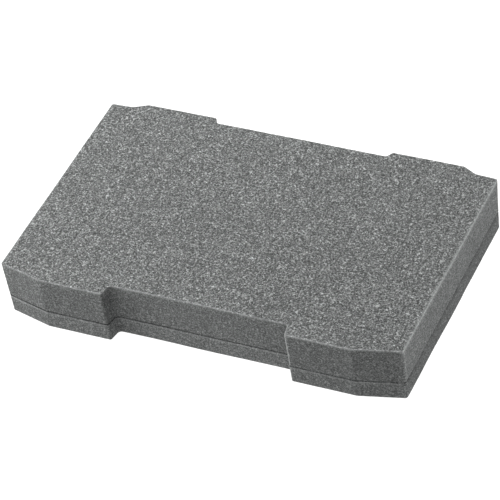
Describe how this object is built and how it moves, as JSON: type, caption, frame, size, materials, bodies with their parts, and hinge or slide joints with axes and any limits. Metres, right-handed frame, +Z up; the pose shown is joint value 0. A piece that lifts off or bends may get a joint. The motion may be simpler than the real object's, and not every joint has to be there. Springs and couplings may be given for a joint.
{
  "type": "foam case insert",
  "caption": "Layered tool case insert of grey foam with recessed front and back edges; its upper layer is cut into square blocks that lift out to make pockets over a plain base pad.",
  "frame": {"origin": "centre of the outline on the underside of the base pad", "axes": "+X along the long side, +Y from the edge with the deeper recess to the edge with the shallower one, +Z up through the layers"},
  "size_m": [0.364, 0.2368, 0.054],
  "materials": {
    "base_foam": "matte",
    "upper_foam": "matte",
    "cube_foam": "matte"
  },
  "bodies": {
    "base": {"base_pad": "base_foam"},
    "upper_layer": {"upper_border": "upper_foam"},
    "column_01": {"cube_column_01": "cube_foam"},
    "column_02": {"cube_column_02": "cube_foam"},
    "column_03": {"cube_column_03": "cube_foam"},
    "column_04": {"cube_column_04": "cube_foam"},
    "column_05": {"cube_column_05": "cube_foam"},
    "column_06": {"cube_column_06": "cube_foam"},
    "column_07": {"cube_column_07": "cube_foam"},
    "column_08": {"cube_column_08": "cube_foam"},
    "column_09": {"cube_column_09": "cube_foam"},
    "column_10": {"cube_column_10": "cube_foam"},
    "column_11": {"cube_column_11": "cube_foam"},
    "column_12": {"cube_column_12": "cube_foam"},
    "column_13": {"cube_column_13": "cube_foam"},
    "column_14": {"cube_column_14": "cube_foam"},
    "column_15": {"cube_column_15": "cube_foam"},
    "column_16": {"cube_column_16": "cube_foam"},
    "column_17": {"cube_column_17": "cube_foam"},
    "column_18": {"cube_column_18": "cube_foam"},
    "column_19": {"cube_column_19": "cube_foam"},
    "column_20": {"cube_column_20": "cube_foam"},
    "column_21": {"cube_column_21": "cube_foam"},
    "column_22": {"cube_column_22": "cube_foam"}
  },
  "joints": [
    {"name": "upper_layer_lift", "type": "slide", "parent": "base", "child": "upper_layer", "axis": [0, 0, 1], "range_m": [0, 0.06]},
    {"name": "column_01_lift", "type": "slide", "parent": "upper_layer", "child": "column_01", "axis": [0, 0, 1], "range_m": [0, 0.05]},
    {"name": "column_02_lift", "type": "slide", "parent": "upper_layer", "child": "column_02", "axis": [0, 0, 1], "range_m": [0, 0.05]},
    {"name": "column_03_lift", "type": "slide", "parent": "upper_layer", "child": "column_03", "axis": [0, 0, 1], "range_m": [0, 0.05]},
    {"name": "column_04_lift", "type": "slide", "parent": "upper_layer", "child": "column_04", "axis": [0, 0, 1], "range_m": [0, 0.05]},
    {"name": "column_05_lift", "type": "slide", "parent": "upper_layer", "child": "column_05", "axis": [0, 0, 1], "range_m": [0, 0.05]},
    {"name": "column_06_lift", "type": "slide", "parent": "upper_layer", "child": "column_06", "axis": [0, 0, 1], "range_m": [0, 0.05]},
    {"name": "column_07_lift", "type": "slide", "parent": "upper_layer", "child": "column_07", "axis": [0, 0, 1], "range_m": [0, 0.05]},
    {"name": "column_08_lift", "type": "slide", "parent": "upper_layer", "child": "column_08", "axis": [0, 0, 1], "range_m": [0, 0.05]},
    {"name": "column_09_lift", "type": "slide", "parent": "upper_layer", "child": "column_09", "axis": [0, 0, 1], "range_m": [0, 0.05]},
    {"name": "column_10_lift", "type": "slide", "parent": "upper_layer", "child": "column_10", "axis": [0, 0, 1], "range_m": [0, 0.05]},
    {"name": "column_11_lift", "type": "slide", "parent": "upper_layer", "child": "column_11", "axis": [0, 0, 1], "range_m": [0, 0.05]},
    {"name": "column_12_lift", "type": "slide", "parent": "upper_layer", "child": "column_12", "axis": [0, 0, 1], "range_m": [0, 0.05]},
    {"name": "column_13_lift", "type": "slide", "parent": "upper_layer", "child": "column_13", "axis": [0, 0, 1], "range_m": [0, 0.05]},
    {"name": "column_14_lift", "type": "slide", "parent": "upper_layer", "child": "column_14", "axis": [0, 0, 1], "range_m": [0, 0.05]},
    {"name": "column_15_lift", "type": "slide", "parent": "upper_layer", "child": "column_15", "axis": [0, 0, 1], "range_m": [0, 0.05]},
    {"name": "column_16_lift", "type": "slide", "parent": "upper_layer", "child": "column_16", "axis": [0, 0, 1], "range_m": [0, 0.05]},
    {"name": "column_17_lift", "type": "slide", "parent": "upper_layer", "child": "column_17", "axis": [0, 0, 1], "range_m": [0, 0.05]},
    {"name": "column_18_lift", "type": "slide", "parent": "upper_layer", "child": "column_18", "axis": [0, 0, 1], "range_m": [0, 0.05]},
    {"name": "column_19_lift", "type": "slide", "parent": "upper_layer", "child": "column_19", "axis": [0, 0, 1], "range_m": [0, 0.05]},
    {"name": "column_20_lift", "type": "slide", "parent": "upper_layer", "child": "column_20", "axis": [0, 0, 1], "range_m": [0, 0.05]},
    {"name": "column_21_lift", "type": "slide", "parent": "upper_layer", "child": "column_21", "axis": [0, 0, 1], "range_m": [0, 0.05]},
    {"name": "column_22_lift", "type": "slide", "parent": "upper_layer", "child": "column_22", "axis": [0, 0, 1], "range_m": [0, 0.05]}
  ]
}
